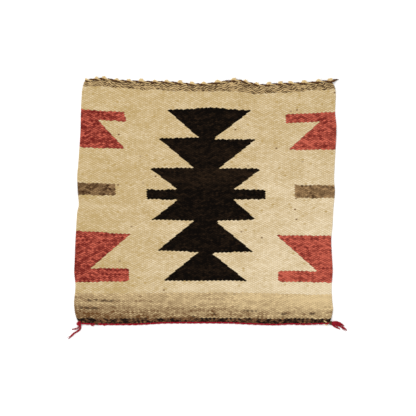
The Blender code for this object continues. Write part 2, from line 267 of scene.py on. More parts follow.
yarn_of = np.full(len(bead_places), "cream", dtype="U12")
yarn_of[inside(CENTRE_FIGURE, bead_places)] = "black"
for outline in RED_FIGURES:
    yarn_of[inside(outline, bead_places)] = "red"
for outline in SIDE_BARS:
    yarn_of[inside(outline, bead_places)] = "brown"
yarn_of[inside(TOP_BAND, bead_places)] = "heather"
yarn_of[inside(BOTTOM_BAND, bead_places)] = "tan"
yarn_of[inside(END_STRIP, bead_places)] = "dark"


# Where two yarns meet, the weaver beats them down to the drawn line: the
# beads there are pressed part of the way to it, further along a slant than
# along a row, and small teeth are left.
PRESS_REACH = 7 * MM
PRESS_SHARE = 0.38
PRESS_MORE_ON_SLANT = 0.3
LINE_STEPS = 2 * ROWS + 1
bead_rings = []
bead_spots = []
yarn_beside = {}
for number, (warp, start, stop) in enumerate(bead_table):
    left = [warp * LINE_STEPS + k for k in range(start, stop + 1)]
    right = [place + LINE_STEPS for place in left]
    ring = left + right[::-1]
    bead_rings.append(ring)
    bead_spots.append([left[0], right[0], left[-1], right[-1],
                       left[(len(left) - 1) // 2], left[len(left) // 2],
                       right[(len(left) - 1) // 2], right[len(left) // 2]])
    for a, b in zip(ring, ring[1:] + ring[:1]):
        yarn_beside[(a, b)] = yarn_of[number]
bead_spots = np.array(bead_spots)
meeting = np.array(sorted({
    a for (a, b), yarn in yarn_beside.items() if yarn_beside.get((b, a), yarn) != yarn
}))
meeting = meeting[~(at_end | at_side).ravel()[meeting]]
loose_places = line_flat.reshape(-1, 2)[meeting]
pressed = loose_places.copy()
nearest_yet = np.full(len(meeting), PRESS_REACH)
for outline in (CENTRE_FIGURE, *RED_FIGURES, *SIDE_BARS, TOP_BAND, BOTTOM_BAND, END_STRIP):
    corners = np.array(outline) * MM - SHIFT
    for start, stop in zip(corners, np.roll(corners, -1, axis=0)):
        run = stop - start
        share = np.clip((loose_places - start) @ run / (run @ run), 0, 1)
        away = start + share[:, None] * run - loose_places
        distance = np.linalg.norm(away, axis=1)
        slant = abs(run).min() / abs(run).max()
        press = PRESS_SHARE + PRESS_MORE_ON_SLANT * slant
        closer = distance < nearest_yet
        nearest_yet[closer] = distance[closer]
        pressed[closer] = (loose_places + away * press)[closer]
line_flat.reshape(-1, 2)[meeting] = pressed

line_inset = np.where(at_end | at_side, RIM, VALLEY)
line_floor = lift(line_flat)
line_above = np.dstack([line_flat + SHIFT, line_floor + CLOTH_THICKNESS - line_inset])
line_below = np.dstack([line_flat + SHIFT, line_floor + line_inset * UNDERSIDE_DIP])
line_weave = np.dstack([line + reach, (step + lean) / 2])


# How far a bead's crown lies off the others, in mm, and where the second map
# lays the cloth's two faces, as shares of the map's width
CROWN_LOW = -0.16
CROWN_HIGH = 0.08
MAP_MARGIN = 0.01
SEEN_WIDTH = 0.74
UNSEEN_START = 0.75
UNSEEN_WIDTH = 0.24
WALL_WIDTH = 0.004


def weave(name, yarn):
    """The beads of one yarn as one closed piece of cloth, woven on both faces."""
    picked = np.flatnonzero(yarn_of == yarn)
    chance = np.random.default_rng(len(picked))
    count = len(picked)
    warp = bead_warp[picked]

    # Each bead's own points: middle, left, right, far end, near end, underside
    aside = np.array((0.0, -0.42, 0.42, 0.0, 0.0, 0.0))
    along = np.array((0.0, -0.08, 0.08, -0.6, 0.6, 0.0))
    fall = np.array((0.0, 0.26, 0.26, 0.2, 0.2, 0.0)) * MM
    own_across = warp[:, None] + 0.5 + aside
    own_down = bead_middle[picked][:, None] + along * bead_half[picked][:, None]
    spots = line_flat.reshape(-1, 2)[bead_spots[picked]]
    far, near, left, right = [spots[:, k:k + 2].mean(axis=1) for k in (0, 2, 4, 6)]
    middle = (far + near + left + right) / 4
    own_flat = np.stack([
        middle, middle * 0.55 + left * 0.45, middle * 0.55 + right * 0.45,
        middle * 0.4 + far * 0.6, middle * 0.4 + near * 0.6, middle,
    ], axis=1)
    crown = CLOTH_THICKNESS + chance.uniform(CROWN_LOW, CROWN_HIGH, count) * MM
    own_height = lift(own_flat) + crown[:, None] - fall
    own_height[:, 5] = lift(own_flat)[:, 5]
    own_points = np.dstack([own_flat + SHIFT, own_height]).reshape(-1, 3)
    own_uv = np.dstack([own_across, own_down / 2]).reshape(-1, 2)

    rings = [bead_rings[number] for number in picked]
    used = np.array(sorted(set().union(*rings)))
    above = {place: 6 * count + k for k, place in enumerate(used)}
    below = {place: 6 * count + len(used) + k for k, place in enumerate(used)}
    line_uv = line_weave.reshape(-1, 2)[used]
    points = np.vstack([
        own_points, line_above.reshape(-1, 3)[used], line_below.reshape(-1, 3)[used]
    ])
    uv = np.vstack([own_uv, line_uv, line_uv])

    # A second map lays the upper face flat on the left and the underside, made
    # narrower, on the right. Walls lie just outside the edge they hang from.
    low = points[:, :2].min(axis=0)
    spread = (points[:, :2] - low) / (points[:, :2].max(axis=0) - low)
    spread = spread * (1 - 2 * MAP_MARGIN) + MAP_MARGIN
    seen = spread * (SEEN_WIDTH, 1.0)
    unseen = spread * (UNSEEN_WIDTH, 1.0) + (UNSEEN_START, 0.0)

    faces = []
    flat_uv = []
    edges = set()
    for number, ring in enumerate(rings):
        middle, left, right, far, near, root = range(6 * number, 6 * number + 6)
        over = [above[place] for place in ring]
        under = [below[place] for place in ring]
        upper = len(faces)
        faces += [(middle, far, left), (middle, left, near)]
        faces += [(middle, near, right), (middle, right, far)]
        faces += [(far, over[-1], over[0]), (far, over[0], left), (right, over[-1], far)]
        if len(over) == 6:
            l0, l1, l2, r2, r1, r0 = over
            faces += [(left, l0, l1), (left, l1, l2), (left, l2, near), (near, l2, r2)]
            faces += [(near, r2, right), (right, r2, r1), (right, r1, r0)]
        else:
            l0, l1, r1, r0 = over
            faces += [(left, l0, l1), (left, l1, near), (near, l1, r1)]
            faces += [(near, r1, right), (right, r1, r0)]
        faces += [(root, b, a) for a, b in zip(under, under[1:] + under[:1])]
        flat_uv += [seen[corner] for face in faces[upper:-len(under)] for corner in face]
        flat_uv += [unseen[corner] for face in faces[-len(under):] for corner in face]
        for a, b in zip(ring, ring[1:] + ring[:1]):
            if (b, a) in edges:
                edges.remove((b, a))
            else:
                edges.add((a, b))
    borders = set()
    for a, b in sorted(edges):
        faces.append((above[a], below[a], below[b], above[b]))
        start, stop = seen[above[a]], seen[above[b]]
        out = np.array((stop[1] - start[1], start[0] - stop[0]))
        out *= WALL_WIDTH / np.linalg.norm(out)
        flat_uv += [start, start + out, stop + out, stop]
        at_rim = line_inset.flat[a] == RIM and line_inset.flat[b] == RIM
        if not at_rim:
            borders.add((min(above[a], above[b]), max(above[a], above[b])))
            borders.add((min(below[a], below[b]), max(below[a], below[b])))

    mesh = bpy.data.meshes.new(name)
    mesh.from_pydata(points.tolist(), [], faces)
    weave_map = mesh.uv_layers.new(name="weave")
    corners = np.empty(len(mesh.loops), int)
    mesh.loops.foreach_get("vertex_index", corners)
    weave_map.data.foreach_set("uv", uv[corners].ravel())
    flat_map = mesh.uv_layers.new(name="OFBake")
    flat_map.data.foreach_set("uv", np.array(flat_uv).ravel())
    mesh.shade_smooth()
    ends = np.empty(2 * len(mesh.edges), int)
    mesh.edges.foreach_get("vertices", ends)
    sharp = [(min(a, b), max(a, b)) in borders for a, b in ends.reshape(-1, 2).tolist()]
    creases = mesh.attributes.new("sharp_edge", "BOOLEAN", "EDGE")
    creases.data.foreach_set("value", sharp)
    piece = bpy.data.objects.new(name, mesh)
    bpy.context.scene.collection.objects.link(piece)
    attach(piece, "root")
    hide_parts("woven_cloth")
    return piece


class Shade:
    """One output of a material's nodes, which sums and products build on."""

    def __init__(self, tree, socket=None):
        self.tree = tree
        self.socket = socket

    def node(self, kind, settings, inputs, output=0):
        """Any node, from its kind, its settings and what its inputs take."""
        node = self.tree.nodes.new(kind)
        for name, value in settings.items():
            setattr(node, name, value)
        for name, value in inputs.items():
            if isinstance(value, Shade):
                self.tree.links.new(value.socket, node.inputs[name])
            else:
                node.inputs[name].default_value = value
        return Shade(self.tree, node.outputs[output])

    def other(self, output):
        """Another output of the same node."""
        return Shade(self.tree, self.socket.node.outputs[output])

    def sum(self, operation, *values):
        """A Math node of the given operation."""
        return self.node("ShaderNodeMath", {"operation": operation}, dict(enumerate(values)))

    def __add__(self, value):
        return self.sum("ADD", self, value)

    def __radd__(self, value):
        return self.sum("ADD", value, self)

    def __sub__(self, value):
        return self.sum("SUBTRACT", self, value)

    def __rsub__(self, value):
        return self.sum("SUBTRACT", value, self)

    def __mul__(self, value):
        return self.sum("MULTIPLY", self, value)

    def __rmul__(self, value):
        return self.sum("MULTIPLY", value, self)

    def __pow__(self, value):
        return self.sum("POWER", self, value)

    def __mod__(self, value):
        return self.sum("FLOORED_MODULO", self, value)

    def whole(self):
        return self.sum("FLOOR", self)

    def size(self):
        return self.sum("ABSOLUTE", self)

    def ramp(self, start, end):
        """0 before start, 1 after end, and smooth between them."""
        settings = {"interpolation_type": "SMOOTHSTEP"}
        inputs = {"Value": self, "From Min": start, "From Max": end}
        return self.node("ShaderNodeMapRange", settings, inputs)

    def mix(self, first, second):
        """The first colour at 0 and the second at 1."""
        inputs = {0: self, 6: first, 7: second}
        return self.node("ShaderNodeMix", {"data_type": "RGBA"}, inputs, 2)

    def place(self, x, y, z=0.0):
        return self.node("ShaderNodeCombineXYZ", {}, {"X": x, "Y": y, "Z": z})

    def noise(self, place, detail):
        inputs = {"Vector": place, "Scale": 1.0, "Detail": detail}
        return self.node("ShaderNodeTexNoise", {}, inputs)


# The lamp and the surround light the cloth a little past white, so wool is
# darker in itself than it looks
OWN_SHARE = 0.9


def rgb(red, green, blue):
    """A colour as it looks under the lamp, 0 to 255, as the light it returns."""
    parts = [part / 255 for part in (red, green, blue)]
    linear = [p / 12.92 if p <= 0.04045 else ((p + 0.055) / 1.055) ** 2.4 for p in parts]
    return (*[OWN_SHARE * part for part in linear], 1.0)


def new_material(name, roughness):
    """A wool's material, where its sums start, and its main shader node."""
    material = bpy.data.materials.new(name)
    material.use_nodes = True
    shader = material.node_tree.nodes["Principled BSDF"]
    shader.inputs["Roughness"].default_value = roughness
    shader.inputs["Specular IOR Level"].default_value = 0.1
    return material, Shade(material.node_tree), shader


Weave = namedtuple("Weave", "x y right nearer weft bead_x bead_y chance fibres cloud edge")


def read_weave(start):
    """Where a place is in the weave, and what chance has done to the yarn there.

    x and y are in mm from the top left corner. right and nearer run from -0.5
    to 0.5 over the cloth. The beads meet along two families of slanting lines.
    edge is 1 in the grooves along them: it sinks the bump there, and each yarn
    takes it off its tone as painted shade in the grooves between beads.
    """
    place = start.node("ShaderNodeUVMap", {"uv_map": "weave"}, {})
    across = start.node("ShaderNodeSeparateXYZ", {}, {"Vector": place})
    down = across.other("Y")
    falling = down - across * 0.5 + 0.25
    climbing = down + across * 0.5 - 0.25
    bead_x = (falling % 1.0) * 2.0 - 1.0
    bead_y = (climbing % 1.0) * 2.0 - 1.0
    weft = falling.whole() + climbing.whole() + 1.0
    chance = start.node("ShaderNodeTexWhiteNoise", {"noise_dimensions": "2D"},
                        {"Vector": start.place(falling.whole(), climbing.whole())})
    x = across * WARP_PITCH
    y = down * ROW_PITCH
    fibres = start.noise(start.place(x * 0.4 - y * 0.23, y * 1.8), 3.0)
    cloud = start.noise(start.place(x * 0.0175, y * 0.026, 4.0), 2.0)
    # The grooves where beads meet: sunk in the bump, and painted darker in each yarn's colour as
    # shade
    groove = bead_x.size().ramp(0.52, 1.0) * 0.9
    cross_groove = bead_y.size().ramp(0.56, 1.0) * 0.8
    return Weave(x, y, across * (1 / WARPS) - 0.5, down * (1 / ROWS) - 0.5, weft,
                 bead_x, bead_y, chance - 0.5, fibres - 0.5, cloud - 0.5,
                 groove.sum("MAXIMUM", groove, cross_groove))


def streaks(start, weave, long, high, seed):
    """Uneven yarn: patches so many mm long and high, which keep to the rows."""
    place = start.place(weave.x * (1 / long), weave.weft * (ROW_PITCH / 2 / high), seed)
    return start.noise(place, 2.0) - 0.5


def finish_wool(start, shader, weave, colour):
    """The yarn's colour, and the small relief of its fibres and beads."""
    start.tree.links.new(colour.socket, shader.inputs["Base Color"])
    relief = weave.fibres * 0.9 - weave.edge * 0.4
    bump = start.node("ShaderNodeBump", {}, {"Strength": 0.5, "Distance": 0.0004, "Height": relief})
    start.tree.links.new(bump.socket, shader.inputs["Normal"])


def dress(piece, material):
    piece.data.materials.append(material)


# The cream ground: undyed handspun wool, woven round every figure as the
# rows rose, darker and yellower at the top left than at the bottom right,
# partly its own tone and partly painted shade where less light falls, with
# stray dark hairs and tan stains in single beads.
ground = weave("cream_ground", "cream")
cream, start, shader = new_material("cream wool", 0.94)
here = read_weave(start)
in_bead = (here.bead_x ** 2.0 + here.bead_y ** 2.0).ramp(1.0, 0.2)
hair = here.chance.ramp(0.497, 0.499) * in_bead
stain = here.chance.ramp(-0.486, -0.494) * in_bead
tone = (
    0.57
    # palest at the bottom right: partly the wool's own tone, partly painted shade
    + here.right * 0.46
    + here.nearer * 0.32
    + here.right * here.nearer * 0.9
    + streaks(start, here, 56, 10, 1) * 0.5
    + streaks(start, here, 12, 3, 2) * 0.45
    + here.chance * 0.36
    + here.fibres * 0.6
    + here.cloud * 0.6
    # painted shade in the grooves between beads
    - here.edge * 0.5
    - stain * 0.5
)
undyed = tone.mix(rgb(186, 159, 106), rgb(233, 215, 182))
speckled = hair.mix(undyed, rgb(104, 66, 30))
finish_wool(start, shader, here, speckled)
dress(ground, cream)

# The black centre figure: a column of wedges either side of a crossbar, in
# yarn of natural black fleece with a brown cast where it has weathered.
figure = weave("black_centre_figure", "black")
black, start, shader = new_material("black wool", 0.92)
shader.inputs["Specular IOR Level"].default_value = 0.03
here = read_weave(start)
tone = (
    0.1
    + (here.nearer + 0.107).size().ramp(0.074, 0.008) * 0.14
    + (here.nearer + 0.205).size().ramp(0.041, 0.008) * 0.1
    + streaks(start, here, 240, 15, 3) * 0.5
    + streaks(start, here, 20, 4, 4) * 0.7
    + here.chance * 0.25
    + here.fibres * 0.6
    # painted shade in the grooves between beads
    - here.edge * 0.15
)
finish_wool(start, shader, here, tone.mix(rgb(12, 8, 6), rgb(66, 48, 32)))
dress(figure, black)

# The four red side figures: dyed wool, its colour broken by lighter and
# darker rows, each figure woven in from a selvage.
reds = weave("red_side_figures", "red")
red, start, shader = new_material("red wool", 0.92)
here = read_weave(start)
tone = (
    0.63
    + here.right * 0.26
    + here.right * here.nearer * 0.3
    + streaks(start, here, 120, 12, 5) * 0.9
    + streaks(start, here, 60, 2.2, 6) * 1.5
    + here.chance * 0.9
    + here.fibres * 1.5
    # painted shade in the grooves between beads
    - here.edge * 0.6
)
finish_wool(start, shader, here, tone.mix(rgb(110, 30, 24), rgb(204, 100, 80)))
dress(reds, red)

# The two side bars: yarn of brown and tan fleece carded together, so it is
# flecked along its length. Each bar is woven in from a selvage.
bars = weave("brown_side_bars", "brown")
brown, start, shader = new_material("brown wool", 0.93)
here = read_weave(start)
tone = (
    0.47
    + here.right * 0.3
    + streaks(start, here, 24, 4, 7) * 1.4
    + streaks(start, here, 7, 2.4, 8) * 1.1
    + here.chance * 0.5
    + here.fibres * 1.3
    # painted shade in the grooves between beads
    - here.edge * 0.25
)
finish_wool(start, shader, here, tone.mix(rgb(62, 38, 18), rgb(172, 138, 96)))
dress(bars, brown)

# The top band: the last rows, in heathered tan and brown. Their thick uneven
# yarns wave up and down between the tufts of the cord above them.
top_band = weave("top_band", "heather")
heather, start, shader = new_material("heathered tan wool", 0.93)
here = read_weave(start)
wave = start.sum("SINE", here.x * 0.29 + here.cloud * 10.0) * 1.1
waved = here._replace(weft=here.y * (2 / ROW_PITCH) + wave)
strands = start.sum("SINE", waved.weft * 3.3)
tone = (
    0.6
    + strands * 0.32
    + streaks(start, waved, 44, 2.4, 9) * 1.5
    + streaks(start, waved, 8, 1.6, 10) * 2.0
    + here.chance * 0.6
    + here.fibres * 1.4
    # painted shade in the grooves between beads
    - here.edge * 0.4
)
finish_wool(start, shader, here, tone.mix(rgb(60, 36, 18), rgb(206, 176, 126)))
dress(top_band, heather)

# The bottom band: the next rows, tan fleece with brown streaks that grow
# towards the end and towards the left, and dashes where dark hairs were spun
# into a single row. The longest dashes are placed, in mm down and across.
bottom_band = weave("bottom_band", "tan")
tan, start, shader = new_material("tan wool", 0.93)
here = read_weave(start)
low_rows = here.nearer.ramp(0.418, 0.462)
dark_rows = streaks(start, here, 64, 1.8, 15).ramp(0.16, 0.22) * (0.4 + low_rows * 0.6)
DarkRow = namedtuple("DarkRow", "down begin end")
DARK_ROWS = [
    DarkRow(down=428, begin=26, end=86), DarkRow(down=443.5, begin=12, end=47),
    DarkRow(down=454, begin=395, end=408), DarkRow(down=454, begin=449, end=457),
]
for down, begin, end in DARK_ROWS:
    in_row = (here.y - down).size().ramp(3.4, 1.6)
    in_reach = here.x.ramp(begin - 3, begin + 1) * here.x.ramp(end + 3, end - 1)
    dark_rows = start.sum("MAXIMUM", dark_rows, in_row * in_reach)
dash = dark_rows * here.chance.ramp(-0.2, 0.0) * 0.8
tone = (
    0.86
    + here.right * 0.5
    - (here.nearer - 0.377) * 2.2
    - low_rows * 0.22
    + streaks(start, here, 100, 6, 11) * 0.8
    + streaks(start, here, 16, 3, 12) * (0.6 + low_rows)
    + here.chance * 0.3
    + here.fibres * 0.9
    # painted shade in the grooves between beads
    - here.edge * 0.36
)
streaked = tone.mix(rgb(104, 70, 38), rgb(222, 196, 148))
finish_wool(start, shader, here, dash.mix(streaked, rgb(58, 38, 24)))
dress(bottom_band, tan)

# The end strip: a few rows of dark brown wool, the first on the loom, that
# close the bottom end above the crimson cord.
end_strip = weave("end_strip", "dark")
umber, start, shader = new_material("dark brown wool", 0.92)
here = read_weave(start)
tone = (
    0.29
    + streaks(start, here, 40, 3, 13) * 0.6
    + streaks(start, here, 6, 2.4, 14) * 1.5
    + here.chance * 0.9
    + here.fibres * 1.6
    # painted shade in the grooves between beads
    - here.edge * 0.35
)
finish_wool(start, shader, here, tone.mix(rgb(24, 12, 6), rgb(136, 98, 64)))
dress(end_strip, umber)


# Yarn drawn as tubes: the cords and tassels are plies of spun wool, each with
# the slanting ridges of its spin.
def smooth_path(corners, gap):
    """Points about gap apart on a smooth curve through the corners."""
    corners = np.array(corners, float)
    before = np.vstack([2 * corners[0] - corners[1], corners[:-1]])
    after = np.vstack([corners[1:], 2 * corners[-1] - corners[-2]])
    slopes = (after - before) / 2
    found = []
    for k in range(len(corners) - 1):
        reach = np.linalg.norm((corners[k + 1] - corners[k])[:3])
        parts = max(2, int(round(reach / gap)))
        t = (np.arange(parts) / parts)[:, None]
        found.append(
            (2 * t ** 3 - 3 * t ** 2 + 1) * corners[k]
            + (t ** 3 - 2 * t ** 2 + t) * slopes[k]
            + (3 * t ** 2 - 2 * t ** 3) * corners[k + 1]
            + (t ** 3 - t ** 2) * slopes[k + 1]
        )
    return np.vstack(found + [corners[-1:]])


def across_path(path):
    """Two directions square to the path at each of its points."""
    heading = np.gradient(path, axis=0)
    heading /= np.linalg.norm(heading, axis=1)[:, None]
    aside = np.empty_like(path)
    carried = np.cross(heading[0], (0.0, 0.0, 1.0))
    if np.linalg.norm(carried) < 0.1:
        carried = np.array((1.0, 0.0, 0.0))
    for k, ahead in enumerate(heading):
        carried = carried - ahead * carried.dot(ahead)
        carried = carried / np.linalg.norm(carried)
        aside[k] = carried
    return aside, np.cross(heading, aside)


def tube(path, radii, spin=7 * MM, sides=10):
    """One ply: its points, faces and a map of length and turn, in mm and turns."""
    path = np.array(path, float)
    radii = np.broadcast_to(np.array(radii, float), len(path))
    aside, upward = across_path(path)
    length = np.concatenate([[0], np.cumsum(np.linalg.norm(np.diff(path, axis=0), axis=1))])
    turn = np.arange(sides) / sides * math.tau
    swell = 1 + 0.1 * np.cos(2 * (turn[None, :] - math.tau * length[:, None] / spin))
    reach = (radii[:, None] * swell)[..., None]
    rings = (
        path[:, None, :]
        + aside[:, None, :] * np.cos(turn)[None, :, None] * reach
        + upward[:, None, :] * np.sin(turn)[None, :, None] * reach
    )
    points = np.vstack([rings.reshape(-1, 3), path[:1], path[-1:]])
    faces = []
    places = []
    for ring in range(len(path) - 1):
        for k in range(sides):
            on = (k + 1) % sides
            row = ring * sides
            faces.append((row + k, row + on, row + sides + on, row + sides + k))
            near = length[ring] / MM
            far = length[ring + 1] / MM
            places += [(near, k / sides), (near, (k + 1) / sides)]
            places += [(far, (k + 1) / sides), (far, k / sides)]
    first = len(points) - 2
    last = len(points) - 1
    end = (len(path) - 1) * sides
    for k in range(sides):
        on = (k + 1) % sides
        faces.append((first, on, k))
        faces.append((last, end + k, end + on))
        places += [(0, 0), (0, (k + 1) / sides), (0, k / sides)]
        far = length[-1] / MM
        places += [(far, 0), (far, k / sides), (far, (k + 1) / sides)]
    return points, faces, places


def yarn_piece(name, tubes, node):
    """Several plies as one piece, in place of a node of the frame."""
    points = []
    faces = []
    places = []
    for tube_points, tube_faces, tube_places in tubes:
        first = sum(len(part) for part in points)
        points.append(tube_points)
        faces += [tuple(first + corner for corner in face) for face in tube_faces]
        places += tube_places
    mesh = bpy.data.meshes.new(name)
    mesh.from_pydata(np.vstack(points).tolist(), [], faces)
    yarn_map = mesh.uv_layers.new(name="yarn")
    yarn_map.data.foreach_set("uv", np.array(places, float).ravel())
    mesh.shade_smooth()
    piece = bpy.data.objects.new(name, mesh)
    bpy.context.scene.collection.objects.link(piece)
    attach(piece, "root")
    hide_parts(node)
    return piece


def spun_wool(name, dark, light, roughness):
    """Spun yarn: slanting fibres, and a tone that wanders along its length."""
    material, start, shader = new_material(name, roughness)
    place = start.node("ShaderNodeUVMap", {"uv_map": "yarn"}, {})
    along = start.node("ShaderNodeSeparateXYZ", {}, {"Vector": place})
    turn = along.other("Y")
    slant = start.place(along * 0.5, turn * 9.0 - along * 0.8)
    fibres = start.noise(slant, 3.0) - 0.5
    wander = start.noise(start.place(along * 0.12, 0.0, 2.0), 2.0) - 0.5
    tone = 0.5 + fibres * 0.9 + wander * 0.8
    start.tree.links.new(tone.mix(dark, light).socket, shader.inputs["Base Color"])
    bump = start.node("ShaderNodeBump", {}, {"Strength": 0.6, "Distance": 0.0003, "Height": fibres})
    start.tree.links.new(bump.socket, shader.inputs["Normal"])
    return material


# The top cord: two plies twined along the edge, a dark one and a soft cream
# one that stands up in a tuft each time it comes to the outside. The tufts are
# where the photo shows them, in mm from the rug's middle. The cord's loose end
# lies past the right corner, at so many mm right, up and high from there.
TUFTS = [
    -238.0, -216.8, -202.9, -177.8, -154.4, -130.0, -102.7, -80.3, -53.9, -30.5,
    -8.1, 19.0, 51.4, 73.8, 95.2, 119.6, 141.9, 161.4, 188.5, 216.5, 238.0,
]
TOP_CORD_OUT = 2.0 * MM
TOP_CORD_HEIGHT = 2.2 * MM
LOOSE_END = [(3, 1.4, 2.4), (6, 3.0, 2.6), (9, 4.0, 2.4), (12, 4.4, 1.9), (15.6, 4.4, 0.9)]
HAIRS_ON_TUFT = 7
shares = np.linspace(1.5 / 484, 1 - 3.0 / 484, 620)
flat = top_points(shares)
middle = np.column_stack([flat + SHIFT + (0, TOP_CORD_OUT), lift(flat) + TOP_CORD_HEIGHT])
corner = middle[-1]
loose_end = [corner + np.array((x, y, 0)) * MM for x, y, z in LOOSE_END]
for place, (x, y, z) in zip(loose_end, LOOSE_END):
    place[2] = max(z * MM, corner[2] - x * MM * 0.35)
loose_path = smooth_path(np.vstack([middle[-3:-1], loose_end]), 0.8 * MM)
middle = np.vstack([middle[:-3], loose_path])
phase = np.interp(middle[:, 0] / MM, TUFTS, np.arange(len(TUFTS)) * math.tau)
chance = np.random.default_rng(11)
tuft_size = np.interp(middle[:, 0] / MM, TUFTS, chance.uniform(0.6, 1.35, len(TUFTS)))
outside = np.clip(np.cos(phase), 0, 1) ** 1.3
heading_out = np.array((0.0, 1.0, 0.0))
upward = np.array((0.0, 0.0, 1.0))


def ply_path(path, angle, reach, radii):
    """One ply's way round the cord's middle, never lower than the floor."""
    found = (
        path
        + heading_out * (np.cos(angle) * reach)[:, None]
        + upward * (np.sin(angle) * reach)[:, None]
    )
    found[:, 2] = np.maximum(found[:, 2], radii * 1.15)
    return found


keep = middle[:, 0] < corner[0] + 2.5 * MM
light_reach = (0.9 + 1.8 * outside * tuft_size) * MM
light_radii = (1.1 + 1.5 * outside * tuft_size) * MM
light_path = ply_path(middle, phase, light_reach, light_radii)
light_ply = tube(light_path[keep], light_radii[keep])
fuzz = []
for place in TUFTS[1:-1]:
    k = np.argmin(abs(middle[:, 0] / MM - place))
    crown = light_path[k] + heading_out * light_radii[k] * 0.6
    for _ in range(HAIRS_ON_TUFT):
        root = crown + np.array((chance.uniform(-3.5, 3.0), -0.6, chance.uniform(-1, 1))) * MM
        tip = root + np.array((chance.uniform(-1.5, 3.5), chance.uniform(1.2, 2.6), -0.4)) * MM
        tip[2] = max(tip[2], 0.5 * MM)
        bend = (root + tip) / 2 + np.array((chance.uniform(-0.8, 0.8), 0.3, 0.3)) * MM
        fuzz.append(tube(smooth_path([root, bend, tip], 0.8 * MM), 0.26 * MM, sides=5))
tuft_ply = yarn_piece("top_cord_cream_ply", [light_ply, *fuzz], "top_end_cord")
cream_yarn = spun_wool("cream cord wool", rgb(176, 140, 84), rgb(236, 212, 160), 0.94)
dress(tuft_ply, cream_yarn)

taper = np.clip((middle[-1, 0] - middle[:, 0]) / (7 * MM), 0.3, 1)
swollen = 1 + 0.55 * np.clip((middle[:, 0] - corner[0]) / (4 * MM), 0, 1)
dark_radii = 1.75 * MM * (0.9 + 0.15 * np.sin(middle[:, 0] / MM * 0.9)) * taper * swollen
dark_path = ply_path(middle, phase + math.pi, 0.9 * MM * taper ** 2, dark_radii)
dark_path[:, 2] += 1.2 * MM * outside * taper
dark_ply = tube(dark_path, dark_radii)
binding_ply = yarn_piece("top_cord_dark_ply", [dark_ply], "top_end_cord")
dark_yarn = spun_wool("dark brown cord wool", rgb(40, 23, 12), rgb(112, 74, 42), 0.92)
dress(binding_ply, dark_yarn)

# The bottom cord: two crimson plies twined along the edge, the last thing
# done to the rug. Here and there a ply bulges where it lies loose, at so many
# mm from the rug's middle.
BOTTOM_CORD_OUT = 1.6 * MM
BOTTOM_CORD_HEIGHT = 1.9 * MM
BOTTOM_CORD_TWIST = 23.4 * MM
Bulge = namedtuple("Bulge", "right size")
BULGES = [
    Bulge(-226.3, 2.0), Bulge(-203.1, 1.0), Bulge(-120, 0.3),
    Bulge(-31, 0.4), Bulge(88, 0.3), Bulge(171, 0.4),
]
shares = np.linspace(5.0 / 490, 1 - 0.6 / 490, 620)
flat = bottom_points(shares)
middle = np.column_stack([flat + SHIFT - (0, BOTTOM_CORD_OUT), lift(flat) + BOTTOM_CORD_HEIGHT])
phase = (middle[:, 0] - middle[0, 0]) / BOTTOM_CORD_TWIST * math.tau
bulge = sum(
    part.size * np.exp(-((middle[:, 0] / MM - part.right) / 3.0) ** 2) for part in BULGES
)
plies = []
for turn in (0, math.pi):
    side_on = np.clip(-np.cos(phase + turn), 0, 1)
    radii = (1.2 + 0.12 * np.sin(phase * 2.7 + turn) + bulge * 0.5 * side_on) * MM
    path = ply_path(middle, phase + turn, (0.75 + bulge * (0.3 + side_on)) * MM, radii)
    plies.append(tube(path, radii))
end_cord = yarn_piece("bottom_cord", plies, "bottom_end_cord")
crimson_yarn = spun_wool("crimson wool", rgb(100, 4, 16), rgb(184, 34, 52), 0.9)
dress(end_cord, crimson_yarn)


# The tassels: the crimson cord's ends, knotted at each bottom corner and left
# to lie on the floor, where their plies open and fray.
STRAND_HAIRS = 5


def strand(centre, corners, plies, seed):
    """A strand's plies twisted loosely together, with hairs at its tip."""
    chance = np.random.default_rng(seed)
    places = [(centre[0] + x * MM, centre[1] + y * MM, 0.0, width * MM) for x, y, width in corners]
    path = smooth_path(places, 0.7 * MM)
    width = np.maximum(path[:, 3], 0.5 * MM)
    core = path[:, :3].copy()
    core[:, 2] = width * 0.5 + 0.15 * MM
    aside, above = across_path(core)
    length = np.linspace(0, 1, len(core))
    found = []
    for ply in range(plies):
        angle = ply / plies * math.tau + length * math.tau * 1.6 + chance.uniform(0, 1)
        reach = width * 0.27 * (1 + np.clip(length - 0.6, 0, 1))
        own = core + aside * (np.cos(angle) * reach)[:, None]
        own = own + above * (np.sin(angle) * reach)[:, None]
        stop = len(own) - int(chance.uniform(0, 0.12) * len(own))
        radii = width * (0.27 + 0.05 * np.sin(length * 19 + ply))
        own[:, 2] = np.maximum(own[:, 2], radii * 1.15)
        found.append(tube(own[:stop], radii[:stop], spin=5 * MM, sides=8))
    for _ in range(STRAND_HAIRS):
        start_at = int(len(core) * chance.uniform(0.55, 0.85))
        root = core[start_at]
        heading = core[-1] - root
        reach = np.linalg.norm(heading)
        end = root + heading * chance.uniform(0.8, 1.1)
        end = end + aside[start_at] * chance.uniform(-0.25, 0.25) * reach
        end[2] = 0.3 * MM
        bend = (root + end) / 2 + aside[start_at] * chance.uniform(-0.12, 0.12) * reach
        bend[2] = max(root[2] * 0.6, 0.5 * MM)
        found.append(tube(smooth_path([root, bend, end], 1 * MM), 0.2 * MM, sides=5))
    return found


def overhand_knot(centre, size, thickness, turn):
    """A yarn tied round itself, pulled down small."""
    t = np.linspace(0, math.tau, 90)
    x = np.sin(t) + 2 * np.sin(2 * t)
    y = np.cos(t) - 2 * np.cos(2 * t)
    z = -np.sin(3 * t)
    reach = (np.array(size) * MM - thickness * 2.1) / (6.0, 6.0, 2.0)
    flat_x = x * math.cos(turn) - y * math.sin(turn)
    flat_y = x * math.sin(turn) + y * math.cos(turn)
    middle_z = size[2] * MM / 2
    path = np.column_stack([
        centre[0] + flat_x * reach[0],
        centre[1] + flat_y * reach[1],
        middle_z + z * reach[2],
    ])
    return tube(path, thickness, spin=6 * MM, sides=10)


